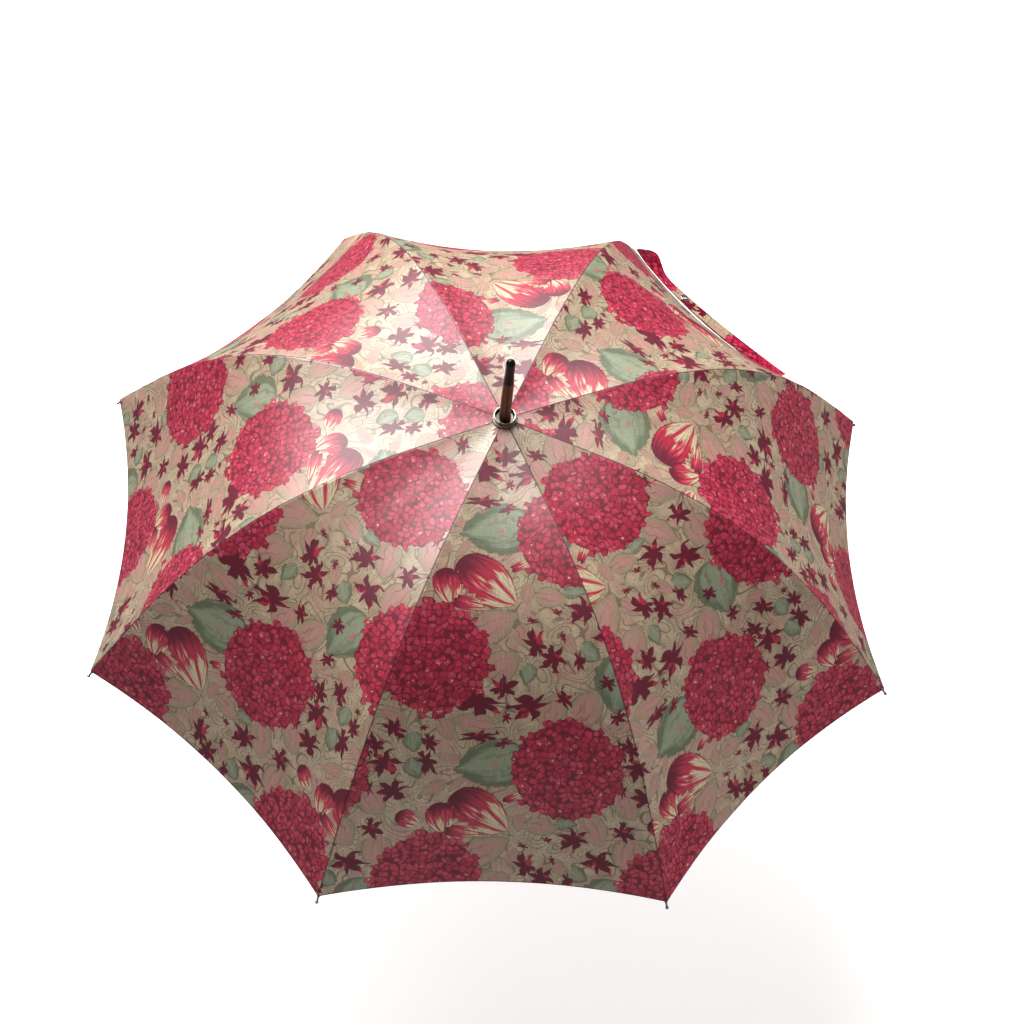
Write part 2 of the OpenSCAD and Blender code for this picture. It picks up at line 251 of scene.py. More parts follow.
class Net:
    """Short calls that add nodes to one tree. A value may be a number, a colour or a socket."""

    def __init__(self, tree):
        self.tree = tree

    def add(self, kind, **props):
        n = self.tree.nodes.new("ShaderNode" + kind)
        for k, v in props.items():
            setattr(n, k, v)
        return n

    def put(self, socket, value):
        if isinstance(value, bpy.types.NodeSocket):
            self.tree.links.new(value, socket)
        else:
            socket.default_value = value

    def math(self, op, *args):
        n = self.add("Math", operation=op)
        for i, a in enumerate(args):
            self.put(n.inputs[i], a)
        return n.outputs[0]

    def mul(self, *a):
        return self.math("MULTIPLY", *a)

    def sum(self, *a):
        return self.math("ADD", *a)

    def sub(self, *a):
        return self.math("SUBTRACT", *a)

    def vec(self, op, *args):
        n = self.add("VectorMath", operation=op)
        for i, a in enumerate(args):
            self.put(n.inputs[i], a)
        return n.outputs["Value"] if op == "LENGTH" else n.outputs["Vector"]

    def scaled(self, v, k):
        n = self.add("VectorMath", operation="SCALE")
        self.put(n.inputs[0], v)
        self.put(n.inputs["Scale"], k)
        return n.outputs["Vector"]

    def xyz(self, v):
        n = self.add("SeparateXYZ")
        self.put(n.inputs[0], v)
        return n.outputs[0], n.outputs[1], n.outputs[2]

    def join(self, x, y, z=0.0):
        n = self.add("CombineXYZ")
        for i, a in enumerate((x, y, z)):
            self.put(n.inputs[i], a)
        return n.outputs[0]

    def attr(self, name):
        return self.add("Attribute", attribute_name=name).outputs["Vector"]

    def noise(self, v, scale, detail=2.0, rough=0.5, distortion=0.0):
        n = self.add("TexNoise")
        names = ("Vector", "Scale", "Detail", "Roughness", "Distortion")
        for name, value in zip(names, (v, scale, detail, rough, distortion)):
            self.put(n.inputs[name], value)
        return n.outputs[0]

    def noise_color(self, v, scale):
        n = self.add("TexNoise")
        self.put(n.inputs["Vector"], v)
        self.put(n.inputs["Scale"], scale)
        return n.outputs[1]

    def cells(self, v, scale, feature, random):
        n = self.add("TexVoronoi", voronoi_dimensions="2D", feature=feature)
        self.put(n.inputs["Vector"], v)
        self.put(n.inputs["Scale"], scale)
        self.put(n.inputs["Randomness"], random)
        return n

    def step(self, x, lo, hi, a=0.0, b=1.0):
        n = self.add("MapRange", interpolation_type="SMOOTHSTEP")
        for i, value in enumerate((x, lo, hi, a, b)):
            self.put(n.inputs[i], value)
        return n.outputs[0]

    def mix(self, f, a, b):
        n = self.add("Mix", data_type="RGBA")
        self.put(n.inputs[0], f)
        self.put(n.inputs[6], a)
        self.put(n.inputs[7], b)
        return n.outputs[2]

    def lerp(self, f, a, b):
        return self.sum(self.mul(self.sub(1.0, f), a), self.mul(f, b))


GROUND, GROUND_DARK, OLIVE = rgb("BEA88B"), rgb("A69177"), rgb("6A5C45")
PETAL, PETAL_DEEP, WINE, CREAM = rgb("C4304A"), rgb("AC1E3C"), rgb("640A26"), rgb("D8C8A2")
PINK, PINK_DEEP, SAGE, SAGE_DEEP = rgb("B58478"), rgb("A0665F"), rgb("8A9175"), rgb("5F684F")


def teardrop(n, p, point):
    """Half width of a petal along p from -1 to 1, round at the start and pointed at the end."""
    start = n.math("POWER", n.math("MAXIMUM", n.sum(1.0, p), 0.0), 0.5)
    end = n.math("POWER", n.math("MAXIMUM", n.sub(1.0, p), 0.0), point)
    return n.mul(start, end)


def ground_cloth(n, cloth):
    """The ground colour with thin drawn stems, hatching and a pink wash."""
    ground = n.mix(n.step(n.noise(cloth, 0.05, 3), 0.3, 0.7), GROUND, GROUND_DARK)
    blush = n.step(n.noise(n.vec("ADD", cloth, (31.0, 8.0, 2.0)), 0.03, 2), 0.5, 0.6)
    ground = n.mix(n.mul(blush, 0.45), ground, PINK)
    swirl = n.noise(cloth, 0.021, 0.0, 0.5, 0.9)
    line = n.math("ABSOLUTE", n.sub(n.math("FRACT", n.mul(swirl, 13.0)), 0.5))
    patchy = n.step(n.noise(cloth, 0.04, 1), 0.36, 0.46)
    ground = n.mix(n.mul(n.mul(n.step(line, 0.13, 0.06), patchy), 0.8), ground, OLIVE)
    swirl = n.noise(n.vec("ADD", cloth, (71.0, 13.0, 5.0)), 0.034, 0.0, 0.5, 1.8)
    line = n.math("ABSOLUTE", n.sub(n.math("FRACT", n.mul(swirl, 9.0)), 0.5))
    rosy = n.mix(blush, OLIVE, PINK_DEEP)
    return n.mix(n.mul(n.step(line, 0.1, 0.04), 0.6), ground, rosy)


def leaves(n, under, ragged, wobble):
    """Pointed leaves with drawn ribs and a dark outline, some pink and some sage."""
    p, q, kind = n.xyz(n.attr("leaf"))
    aq = n.math("ABSOLUTE", q)
    width = n.mul(teardrop(n, p, 0.85), 0.95)
    inside = n.sum(n.sub(width, aq), n.sum(n.mul(wobble, 0.3), ragged))
    leaf = n.step(inside, 0.0, 0.05)
    sage = n.mul(n.math("GREATER_THAN", kind, SAGE_FROM - 0.5), n.math("LESS_THAN", kind, SAGE_TO + 0.5))
    across = n.math("DIVIDE", q, n.math("MAXIMUM", width, 0.15))
    ray = n.math("ABSOLUTE", n.sub(n.math("FRACT", n.sum(n.mul(across, 1.6), n.mul(wobble, 0.8))), 0.5))
    hatch = n.noise(n.join(n.mul(across, 5.0), n.mul(p, 0.8), kind), 1.0, 2)
    pale = n.step(n.sum(inside, n.mul(n.sub(hatch, 0.5), 1.5)), 0.1, 0.6)
    pink_leaf = n.mix(pale, rgb("9C8A6C"), PINK)
    sage_leaf = n.mix(pale, SAGE_DEEP, SAGE)
    strokes = n.noise(n.join(n.mul(across, 3.2), n.mul(p, 1.6), n.sum(kind, 4.0)), 1.0, 1)
    sage_leaf = n.mix(n.mul(n.step(strokes, 0.66, 0.7), 0.9), sage_leaf, rgb("C0606C"))
    body = n.mix(sage, pink_leaf, sage_leaf)
    body = n.mix(n.mul(n.step(ray, 0.12, 0.04), n.mul(n.step(p, 0.8, -0.6), 0.6)), body, rgb("6A6448"))
    body = n.mix(n.mul(n.step(inside, 0.13, 0.04), 0.75), body, rgb("6A6448"))
    return n.mix(leaf, under, body), leaf


def bells(n, under, ragged, wobble):
    """Tulip-like bells: a dark dome, three petals with red edges, and a pale streaked inside."""
    p, q, kind = n.xyz(n.attr("bell"))
    width = n.mul(teardrop(n, p, 0.7), 0.98)
    t = n.math("DIVIDE", q, n.math("MAXIMUM", width, 0.12))
    at = n.math("ABSOLUTE", t)
    inside = n.sum(n.sub(width, n.math("ABSOLUTE", q)), n.sum(n.mul(wobble, 0.2), ragged))
    bell = n.step(inside, 0.0, 0.05)
    streak = n.noise(n.join(n.mul(t, 4.2), n.mul(p, 1.1), n.mul(kind, 3.0)), 1.0, 2, 0.6)
    fine = n.noise(n.join(n.mul(t, 11.0), n.mul(p, 1.6), kind), 1.0, 2, 0.6)
    first = n.math("ABSOLUTE", n.sum(t, 0.3))
    second = n.math("ABSOLUTE", n.sub(t, 0.42))
    border = n.math("MINIMUM", n.math("MINIMUM", first, second), n.sub(1.0, at))
    open_ = n.sum(n.sub(p, n.mul(at, 0.25)), n.mul(n.sub(streak, 0.5), 2.0))
    from_border = n.sum(border, n.mul(n.sub(fine, 0.5), 0.4))
    pale = n.mul(n.step(open_, -0.12, 0.2), n.step(from_border, 0.06, 0.2))
    dome = n.step(n.sum(p, n.mul(n.sub(fine, 0.5), 1.4)), -0.15, -0.75)
    red = n.mix(n.step(fine, 0.5, 0.62), PETAL_DEEP, PETAL)
    red = n.mix(n.step(streak, 0.58, 0.68), red, rgb("CE4A60"))
    red = n.mix(dome, red, WINE)
    shade = n.mix(n.step(fine, 0.42, 0.6), rgb("B9A883"), CREAM)
    body = n.mix(pale, red, shade)
    body = n.mix(n.mul(n.step(inside, 0.1, 0.03), 0.7), body, WINE)
    return n.mix(bell, under, body), bell


STAR_PETALS = 6
FLORET = 7.6


def stars(n, under, ragged):
    """Sprigs of narrow pointed petals round a solid middle."""
    p, q, kind = n.xyz(n.attr("star"))
    local = n.join(p, q, n.mul(kind, 5.0))
    bent = n.sub(n.noise(local, 1.1, 1), 0.5)
    angle = n.sum(n.sum(n.math("ARCTAN2", q, p), n.mul(bent, 1.6)), kind)
    turns = n.mul(angle, STAR_PETALS / (2 * math.pi))
    tooth = n.mul(2.0, n.math("ABSOLUTE", n.sub(n.math("FRACT", turns), 0.5)))
    which = n.math("SINE", n.sum(n.mul(n.math("FLOOR", turns), 2.4), n.mul(kind, 1.7)))
    length = n.sum(0.62, n.mul(which, 0.22))
    lobe = n.mul(n.math("POWER", tooth, 0.95), length)
    reach = n.sum(0.42, lobe)
    star = n.step(n.sum(n.sub(reach, n.vec("LENGTH", n.join(p, q))), ragged), 0.0, 0.07)
    tone = n.mix(n.step(n.noise(local, 1.6, 1), 0.6, 0.64), WINE, PETAL_DEEP)
    return n.mix(star, under, tone), star


def heads(n, under, ragged):
    """Flower heads: outlined florets with dark gaps in places, and a scalloped edge."""
    p, q, kind = n.xyz(n.attr("head"))
    offset = n.mul(kind, 37.0)
    at = n.join(n.sum(n.mul(p, HEAD_R), offset), n.sum(n.mul(q, HEAD_R), offset))
    bent = n.vec("ADD", at, n.scaled(n.vec("SUBTRACT", n.noise_color(at, 0.2), (0.5, 0.5, 0.5)), 6.5))
    cell = n.cells(bent, 1 / FLORET, "F1", 0.85)
    where = cell.outputs["Position"]
    spot = n.vec("SUBTRACT", where, n.join(offset, offset))
    cr, cg, cb = n.xyz(cell.outputs["Color"])
    far = n.vec("LENGTH", n.vec("SUBTRACT", bent, where))
    rim = n.sum(HEAD_R - 4.5, n.mul(n.sub(cb, 0.5), 6.0))
    chosen = n.step(n.sub(rim, n.vec("LENGTH", spot)), 0.0, 0.5)
    from_middle = n.vec("LENGTH", n.join(n.mul(p, HEAD_R), n.mul(q, HEAD_R)))
    body = n.step(n.sub(n.mul(n.sum(0.9, n.mul(ragged, 0.4)), HEAD_R), from_middle), 0.0, 1.5)
    rounded = n.step(n.sub(5.6, far), 0.0, 0.6)
    head = n.math("MAXIMUM", body, n.mul(chosen, rounded))
    folds = n.noise(bent, 0.42, 2, 0.55)
    clumps = n.noise(at, 0.085, 3, 0.6)
    tone = n.mix(n.step(cg, 0.25, 0.8), PETAL_DEEP, PETAL)
    tone = n.mix(n.mul(n.step(cr, 0.62, 0.9), 0.7), tone, rgb("CC4860"))
    tone = n.mix(n.mul(n.step(folds, 0.52, 0.62), 0.5), tone, rgb("8C1634"))
    spread = n.sum(far, n.mul(n.sub(folds, 0.5), 5.0))
    spread = n.sum(spread, n.mul(n.sub(clumps, 0.5), 4.0))
    gaps = n.mul(n.step(spread, 3.1, 3.9), n.step(clumps, 0.44, 0.54))
    border = n.mul(n.cells(bent, 1 / FLORET, "DISTANCE_TO_EDGE", 0.85).outputs["Distance"], FLORET)
    outline = n.step(n.sum(border, n.mul(n.sub(folds, 0.5), 1.6)), 0.75, 0.35)
    between = n.math("MAXIMUM", gaps, outline)
    tone = n.mix(n.mul(between, 0.9), tone, WINE)
    eye = n.mul(n.step(far, 1.0, 0.6), n.math("GREATER_THAN", cb, 0.9))
    return n.mix(head, under, n.mix(n.mul(eye, 0.85), tone, CREAM)), head


WARP_PITCH = 1.15
STITCH_PITCH, STITCHED_AT = 2.4, 5.0


def floral_group():
    """The print's colour, how far the threads stand up, and where the motifs lie."""
    g = bpy.data.node_groups.new("floral_print", "ShaderNodeTree")
    g.interface.new_socket("Color", in_out="OUTPUT", socket_type="NodeSocketColor")
    g.interface.new_socket("Height", in_out="OUTPUT", socket_type="NodeSocketFloat")
    g.interface.new_socket("Motif", in_out="OUTPUT", socket_type="NodeSocketFloat")
    n = Net(g)
    cloth = n.attr("cloth")
    ragged = n.mul(n.sub(n.noise(cloth, 0.55, 2), 0.5), 0.18)
    wobble = n.sub(n.noise(cloth, 0.12, 1), 0.5)
    color = ground_cloth(n, cloth)
    color, leaf = leaves(n, color, ragged, wobble)
    color, bell = bells(n, color, ragged, wobble)
    color, star = stars(n, color, ragged)
    color, head = heads(n, color, ragged)
    x, y, _ = n.xyz(cloth)
    warp = n.math("SINE", n.mul(x, 2 * math.pi / WARP_PITCH))
    slub = n.noise(n.join(n.mul(x, 0.9), n.mul(y, 0.05)), 1.0, 2)
    pick = n.noise(n.join(n.mul(x, 0.06), n.mul(y, 1.3)), 1.0, 2)
    threads = n.sum(n.mul(slub, 0.6), n.mul(pick, 0.4))
    color = n.mix(n.step(threads, 0.42, 0.62, 0.0, 0.24), color, (0.03, 0.018, 0.014, 1))
    out = g.nodes.new("NodeGroupOutput")
    n.put(out.inputs["Color"], color)
    n.put(out.inputs["Height"], n.sum(n.mul(warp, 0.16), threads))
    small = n.math("MAXIMUM", bell, leaf)
    n.put(out.inputs["Motif"], n.math("MAXIMUM", n.math("MAXIMUM", head, star), small))
    return g


def material(name):
    m = bpy.data.materials.new(name)
    m.use_nodes = True
    m.node_tree.nodes.clear()
    n = Net(m.node_tree)
    shader = n.add("BsdfPrincipled")
    out = n.add("OutputMaterial")
    m.node_tree.links.new(shader.outputs[0], out.inputs[0])
    return m, n, shader


def bump(n, shader, height, strength, distance):
    b = n.add("Bump")
    n.put(b.inputs["Strength"], strength)
    n.put(b.inputs["Distance"], distance)
    n.put(b.inputs["Height"], height)
    n.put(shader.inputs["Normal"], b.outputs[0])


FLORAL = floral_group()


def cloth_material(name, back, specular):
    """The print with dark seams, a turned and stitched hem, and painted shade on the strap's start."""
    m, n, shader = material(name)
    g = n.add("Group", node_tree=FLORAL)
    color, height, motif_here = g.outputs["Color"], g.outputs["Height"], g.outputs["Motif"]
    seam, hem, wear_and_painted_shade = n.xyz(n.attr("edge"))
    dark = rgb("3A1420")
    color = n.mix(n.step(seam, 0.9, 0.35, 0.0, 0.85), color, dark)
    color = n.mix(n.step(hem, 1.3, 0.8, 0.0, 0.9), color, rgb("4E1428"))
    stitches = n.math("SINE", n.mul(n.xyz(n.attr("cloth"))[0], 2 * math.pi / STITCH_PITCH))
    beside = n.math("ABSOLUTE", n.sub(hem, STITCHED_AT))
    thread = n.mul(n.step(beside, 0.42, 0.2), n.step(stitches, -0.2, 0.2))
    color = n.mix(n.mul(thread, 0.7), color, rgb("8C3A50"))
    # Painted shade: darkens the strap's start as if it lay in shadow.
    color = n.mix(n.mul(wear_and_painted_shade, 0.8), color, rgb("300A18"))
    if back:
        color = n.mix(0.42, color, rgb("8E6F66"))
        color = n.mix(0.25, color, (0.02, 0.015, 0.015, 1))
    n.put(shader.inputs["Base Color"], color)
    n.put(shader.inputs["Roughness"], n.lerp(motif_here, 0.4, 0.46))
    pale = n.step(n.xyz(color)[1], 0.0, 0.2)
    n.put(shader.inputs["Specular IOR Level"], n.lerp(pale, 0.75 * specular, specular))
    bump(n, shader, n.sum(height, n.mul(thread, 0.8)), 0.35, 0.0004)
    return m


def thread_material(name):
    m, n, shader = material(name)
    at = n.add("TexCoord").outputs["Object"]
    twist = n.noise(at, 1800.0, 2)
    n.put(shader.inputs["Base Color"], n.mix(n.step(twist, 0.35, 0.65), rgb("7E2A40"), rgb("571426")))
    n.put(shader.inputs["Roughness"], n.sum(0.5, n.mul(twist, 0.2)))
    bump(n, shader, twist, 0.4, 0.0002)
    return m


def wood_material(name, light, dark, rough):
    m, n, shader = material(name)
    at = n.add("TexCoord").outputs["Object"]
    x, y, z = n.xyz(at)
    grain = n.noise(n.join(n.mul(x, 420.0), n.mul(y, 420.0), n.mul(z, 14.0)), 1.0, 5, 0.6, 0.6)
    broad = n.noise(n.join(n.mul(x, 70.0), n.mul(y, 70.0), n.mul(z, 5.0)), 1.0, 3, 0.5, 1.5)
    pores = n.noise(n.join(n.mul(x, 1500.0), n.mul(y, 1500.0), n.mul(z, 60.0)), 1.0, 2)
    pores = n.step(pores, 0.6, 0.72)
    color = n.mix(n.step(grain, 0.35, 0.68), light, dark)
    color = n.mix(n.mul(n.step(broad, 0.3, 0.7), 0.6), color, dark)
    color = n.mix(n.mul(pores, 0.5), color, (0.012, 0.006, 0.004, 1))
    n.put(shader.inputs["Base Color"], color)
    n.put(shader.inputs["Roughness"], n.sum(rough, n.mul(n.step(grain, 0.3, 0.7), 0.1)))
    shader.inputs["Specular IOR Level"].default_value = 0.35
    shader.inputs["Coat Weight"].default_value = 0.2
    shader.inputs["Coat Roughness"].default_value = 0.12
    bump(n, shader, n.sub(grain, n.mul(pores, 0.6)), 0.12, 0.0003)
    return m


def metal_material(name, color, rough, scratches, metallic=1.0):
    m, n, shader = material(name)
    at = n.add("TexCoord").outputs["Object"]
    x, y, z = n.xyz(at)
    fine = n.noise(n.join(n.mul(x, 900.0), n.mul(y, 900.0), n.mul(z, 90.0)), 1.0, 3, 0.6)
    cloudy = n.noise(at, 60.0, 3)
    wear_and_painted_shade = n.step(cloudy, 0.45, 0.7)
    dull = tuple(c * 0.62 for c in color[:3]) + (1,)
    n.put(shader.inputs["Base Color"], n.mix(n.mul(wear_and_painted_shade, 0.45), color, dull))
    n.put(shader.inputs["Roughness"], n.sum(rough, n.sum(n.mul(wear_and_painted_shade, 0.12), n.mul(fine, scratches))))
    shader.inputs["Metallic"].default_value = metallic
    bump(n, shader, fine, 0.06, 0.0002)
    return m


# Radius and height in metres of the well in the crown cup.
WELL_R, WELL_Z = 0.0112, 0.6961


def cup_material(name):
    """Nickel, darkened inside the cup with painted shade."""
    m = metal_material(name, (0.66, 0.64, 0.6, 1), 0.2, 0.12)
    n = Net(m.node_tree)
    shader = next(x for x in m.node_tree.nodes if x.type == "BSDF_PRINCIPLED")
    plain = shader.inputs["Base Color"].links[0].from_socket
    at = n.add("TexCoord").outputs["Object"]
    x, y, z = n.xyz(at)
    radius = n.vec("LENGTH", n.join(x, y))
    inside = n.mul(n.step(radius, WELL_R, WELL_R - 0.0006), n.step(z, WELL_Z, WELL_Z - 0.0009))
    # Painted shade in the cup's well, made patchy by noise.
    painted_well_shade = n.mul(inside, n.step(n.noise(at, 400.0, 3), 0.2, 0.5, 0.7, 0.95))
    n.put(shader.inputs["Base Color"], n.mix(painted_well_shade, plain, (0.035, 0.028, 0.022, 1)))
    return m


def black_material(name):
    m, n, shader = material(name)
    at = n.add("TexCoord").outputs["Object"]
    smudge = n.step(n.noise(at, 90.0, 3), 0.4, 0.7)
    n.put(shader.inputs["Base Color"], n.mix(smudge, (0.004, 0.004, 0.004, 1), (0.009, 0.008, 0.008, 1)))
    n.put(shader.inputs["Roughness"], n.sum(0.1, n.mul(smudge, 0.08)))
    shader.inputs["Specular IOR Level"].default_value = 0.25
    bump(n, shader, n.noise(at, 500.0, 2), 0.03, 0.0002)
    return m


CLOTH_FRONT = cloth_material("printed_cloth", False, 0.85)
CLOTH_BACK = cloth_material("printed_cloth_back", True, 0.3)
RIBBON = cloth_material("ribbon_cloth", False, 0.06)
THREAD = thread_material("sewing_thread")
WOOD_DARK = wood_material("spike_wood", rgb("663812"), rgb("2E1606"), 0.3)
WOOD_SHAFT = wood_material("shaft_wood", rgb("9A6236"), rgb("56301A"), 0.34)
NICKEL = metal_material("nickel", (0.6, 0.58, 0.54, 1), 0.2, 0.12)
STEEL = metal_material("steel_wire", (0.56, 0.56, 0.57, 1), 0.3, 0.15)
DARK_METAL = metal_material("dark_metal", (0.09, 0.09, 0.1, 1), 0.32, 0.12, 0.85)
BLACK = black_material("black_lacquer")


def dress(names, mat):
    for name in names:
        o = NODES[name]
        if not o.material_slots:
            o.data.materials.append(mat)
        for s in o.material_slots:
            s.material = mat


NUMBERS = range(1, RIBS + 1)
dress(["shaft"], WOOD_SHAFT)
dress(["tip_spike", "handle"], WOOD_DARK)
dress(["tip_end"], BLACK)
dress(["crown_cup"], cup_material("cup_nickel"))
dress(["handle_collar", "handle_end"] + [f"rib_tip_{k}" for k in NUMBERS], NICKEL)
dress(["stop_pin", "notch_wire", "runner_wire", "top_catch", "bottom_catch"], STEEL)
dress([f"rib_{k}" for k in NUMBERS] + [f"stretcher_{k}" for k in NUMBERS], STEEL)
dress(["top_notch", "runner"], DARK_METAL)


# ---------------------------------------------------------------- sheets of cloth
def smooth(obj):
    obj.data.polygons.foreach_set("use_smooth", [True] * len(obj.data.polygons))


def grid_sheet(name, mid, normal, thick, extra, mirrored):
    """A closed sheet round a grid of middle points: front, back and rim.

    extra holds values for each point of the grid; they come back for both sides.
    """
    rows, cols = mid.shape[:2]
    half = (thick / 2)[..., None] * normal
    points = np.concatenate([(mid + half).reshape(-1, 3), (mid - half).reshape(-1, 3)]) * MM
    index = np.arange(rows * cols).reshape(rows, cols)
    front = np.stack([index[:-1, :-1], index[:-1, 1:], index[1:, 1:], index[1:, :-1]], -1).reshape(-1, 4)
    back = front[:, ::-1] + rows * cols
    loop = np.concatenate([index[:, 0], index[-1, 1:], index[-2::-1, -1], index[0, -2:0:-1]])
    nxt = np.roll(loop, -1)
    rim = np.stack([loop, loop + rows * cols, nxt + rows * cols, nxt], -1)
    faces = np.concatenate([front, back, rim])
    if not mirrored:
        faces = faces[:, ::-1]
    mesh = bpy.data.meshes.new(name)
    mesh.from_pydata(points.tolist(), [], faces.tolist())
    mesh.materials.append(CLOTH_FRONT)
    mesh.materials.append(CLOTH_BACK)
    which = np.zeros(len(faces), np.int32)
    which[len(front) : len(front) + len(back)] = 1
    mesh.polygons.foreach_set("material_index", which)
    obj = bpy.data.objects.new(name, mesh)
    bpy.context.scene.collection.objects.link(obj)
    smooth(obj)
    edges = {tuple(sorted(e)) for e in zip(loop.tolist(), nxt.tolist())}
    edges |= {(a + rows * cols, b + rows * cols) for a, b in edges}
    sharp = [tuple(sorted(e.vertices)) in edges for e in mesh.edges]
    mesh.attributes.new("sharp_edge", "BOOLEAN", "EDGE").data.foreach_set("value", sharp)
    return obj, {k: np.concatenate([v.reshape(rows * cols, -1)] * 2) for k, v in extra.items()}


def waves(x, y, seed):
    """Smooth seeded wave field between about -1 and 1."""
    rng = np.random.RandomState(seed)
    total = 0 * x + 0 * y
    for _ in range(7):
        a = rng.uniform(0, 2 * math.pi)
        k = rng.uniform(0.6, 1.4)
        total = total + np.sin((x * math.cos(a) + y * math.sin(a)) * k + rng.uniform(0, 6.28))
    return total / 4


def bell_curve(x, centre, width):
    return np.exp(-(((x - centre) / width) ** 2))


S_ROWS = np.concatenate([np.linspace(0, 1, 110)[:-1], [0.9935, 0.997, 0.9985, 1.0]])
V_COLS = np.concatenate([[0, 0.0035, 0.009, 0.018, 0.026, 0.031], np.linspace(0.045, 1, 28)])


# A distance from the hem that puts no hem on the cloth.
FAR = 60.0


def set_edge(obj, seam, hem, wear_and_painted_shade=0.0):
    """Distance from the nearest seam and from the hem in mm, and how much painted shade darkens the cloth."""
    edge = np.stack([seam, hem, wear_and_painted_shade + 0 * seam], -1).astype(np.float32)
    obj.data.attributes.new("edge", "FLOAT_VECTOR", "POINT").data.foreach_set("vector", edge.ravel())


def gore_half(k, side):
    """Half a gore beside rib k; seen from above, side a is anticlockwise from it and side b clockwise."""
    mirrored = side == "b"
    gore = k if side == "a" else k % RIBS + 1
    v = np.broadcast_to(V_COLS[None, :], (len(S_ROWS), len(V_COLS)))
    u = np.broadcast_to(S_ROWS[:, None], v.shape)
    hem_s = RIB_LEN - HEM_RISE * sink(v)
    s = CLOTH_IN + u * (hem_s - CLOTH_IN)
    mid, normal = gore_frame(s, v)
    _, r, _, flat = rib_at(s)
    from_middle = r * math.sin(HALF) * (1 - v)
    d = r * math.sin(HALF) - from_middle
    x = from_middle * (1 if mirrored else -1)
    to_hem = hem_s - s
    grown = np.clip(s / 300, 0, 1)
    # Cloth drawn along the seam thread, long soft pulls from the rib ties, and slack between.
    pucker = 0.5 * grown * np.exp(-d / 9) * (1 - np.exp(-d / 1.5))
    pucker *= waves(s / 5.0, d / 14, 11 * gore + mirrored)
    ease = 1 - np.exp(-((d / 12) ** 2))
    slack = 1.1 * grown * ease * waves(x / 26, flat / 60, 40 + gore)
    pulls = 1.2 * ease * bell_curve(d, 0, 60)
    pulls *= waves((s + 0.9 * d) / 13, (s - d) / 90, 90 + 2 * gore + mirrored)
    pulls *= bell_curve(s, 560, 90) + 0.5 * bell_curve(s, 330, 60)
    crown = 0.5 * bell_curve(s, 60, 55) * ease * waves(x / 5, flat / 60, 140 + gore)
    groove = -0.5 * np.exp(-((d / 1.1) ** 2)) * np.clip(s / 200, 0, 1)
    still = np.clip(to_hem / 8, 0, 1) * 0.6 + 0.4
    # The two halves meet in one plane, so nothing lifts them near it.
    free = np.clip((1 - v) / MIDLINE, 0, 1)
    lift = ((pucker + slack + pulls) * still + crown) * free**2 * (3 - 2 * free) + groove
    mid = mid + lift[..., None] * normal
    mid = mid + np.array([0, SEAM_GAP, 0]) * (1 - v)[..., None]
    to_rib = np.array([math.sin(HALF), -math.cos(HALF), 0])
    mid = mid + HALVES_APART * np.clip((v - 0.9) / 0.1, 0, 1)[..., None] * to_rib
    # The hem and the seam allowances are turned under, so they thicken the cloth inwards.
    turned = np.clip((HEM_W - to_hem) / 0.8, 0, 1)
    allowance = np.clip((SEAM_W - d) / 0.8, 0, 1) * np.clip((from_middle + d) / 14, 0, 1)
    extra_t = FOLD_T * np.maximum(turned, allowance) * np.clip(s / 60, 0, 1)
    full = CLOTH_T + extra_t
    mid = mid - (extra_t / 2)[..., None] * normal
    # At the middle the cloth thins from inside, so the halves have room when both are folded.
    thick = full * (1 - THINNED_BY * (1 - np.clip((1 - v) / THINNED, 0, 1)))
    mid = mid + ((full - thick) / 2)[..., None] * normal
    mid = mid - np.array([0, 0, UNDER_CUP]) * np.clip((CUP_EDGE - s) / CUP_RAMP, 0, 1)[..., None]
    mid = turn(mid, azimuth(k), mirrored)
    normal = turn(normal, azimuth(k), mirrored)
    extra = {"flat": np.stack([x, flat], -1), "edge": np.stack([d, to_hem], -1), "fold": fold_share(v)}
    name = f"gore_cloth_{k}{side}"
    obj, per = grid_sheet(name, mid, normal, thick, extra, mirrored)
    print_attributes(obj.data, per["flat"], CUTS[gore])
    set_edge(obj, per["edge"][:, 0], per["edge"][:, 1])
    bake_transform(obj)
    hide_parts(f"gore_{k}{side}")


for k in NUMBERS:
    for side in "ab":
        gore_half(k, side)


def lathe(name, profile, sides, place=None):
    """A ring of revolution about Z from a closed outline of (radius, height) points in mm."""
    outline = np.array(profile, float)
    around = np.arange(sides) * 2 * math.pi / sides
    c, s = np.cos(around)[:, None], np.sin(around)[:, None]
    r, z = outline[None, :, 0], outline[None, :, 1]
    points = np.stack([r * c, r * s, z + 0 * c], -1)
    count = len(outline)
    i, j = np.meshgrid(np.arange(sides), np.arange(count), indexing="ij")
    i2, j2 = (i + 1) % sides, (j + 1) % count
    faces = np.stack([i * count + j, i2 * count + j, i2 * count + j2, i * count + j2], -1).reshape(-1, 4)
    mesh = bpy.data.meshes.new(name)
    mesh.from_pydata((points.reshape(-1, 3) * MM).tolist(), [], faces.tolist())
    obj = bpy.data.objects.new(name, mesh)
    bpy.context.scene.collection.objects.link(obj)
    smooth(obj)
    if place is not None:
        mesh.transform(place)
    return obj


# ---------------------------------------------------------------- rosette under the cup
GATHERS = 24


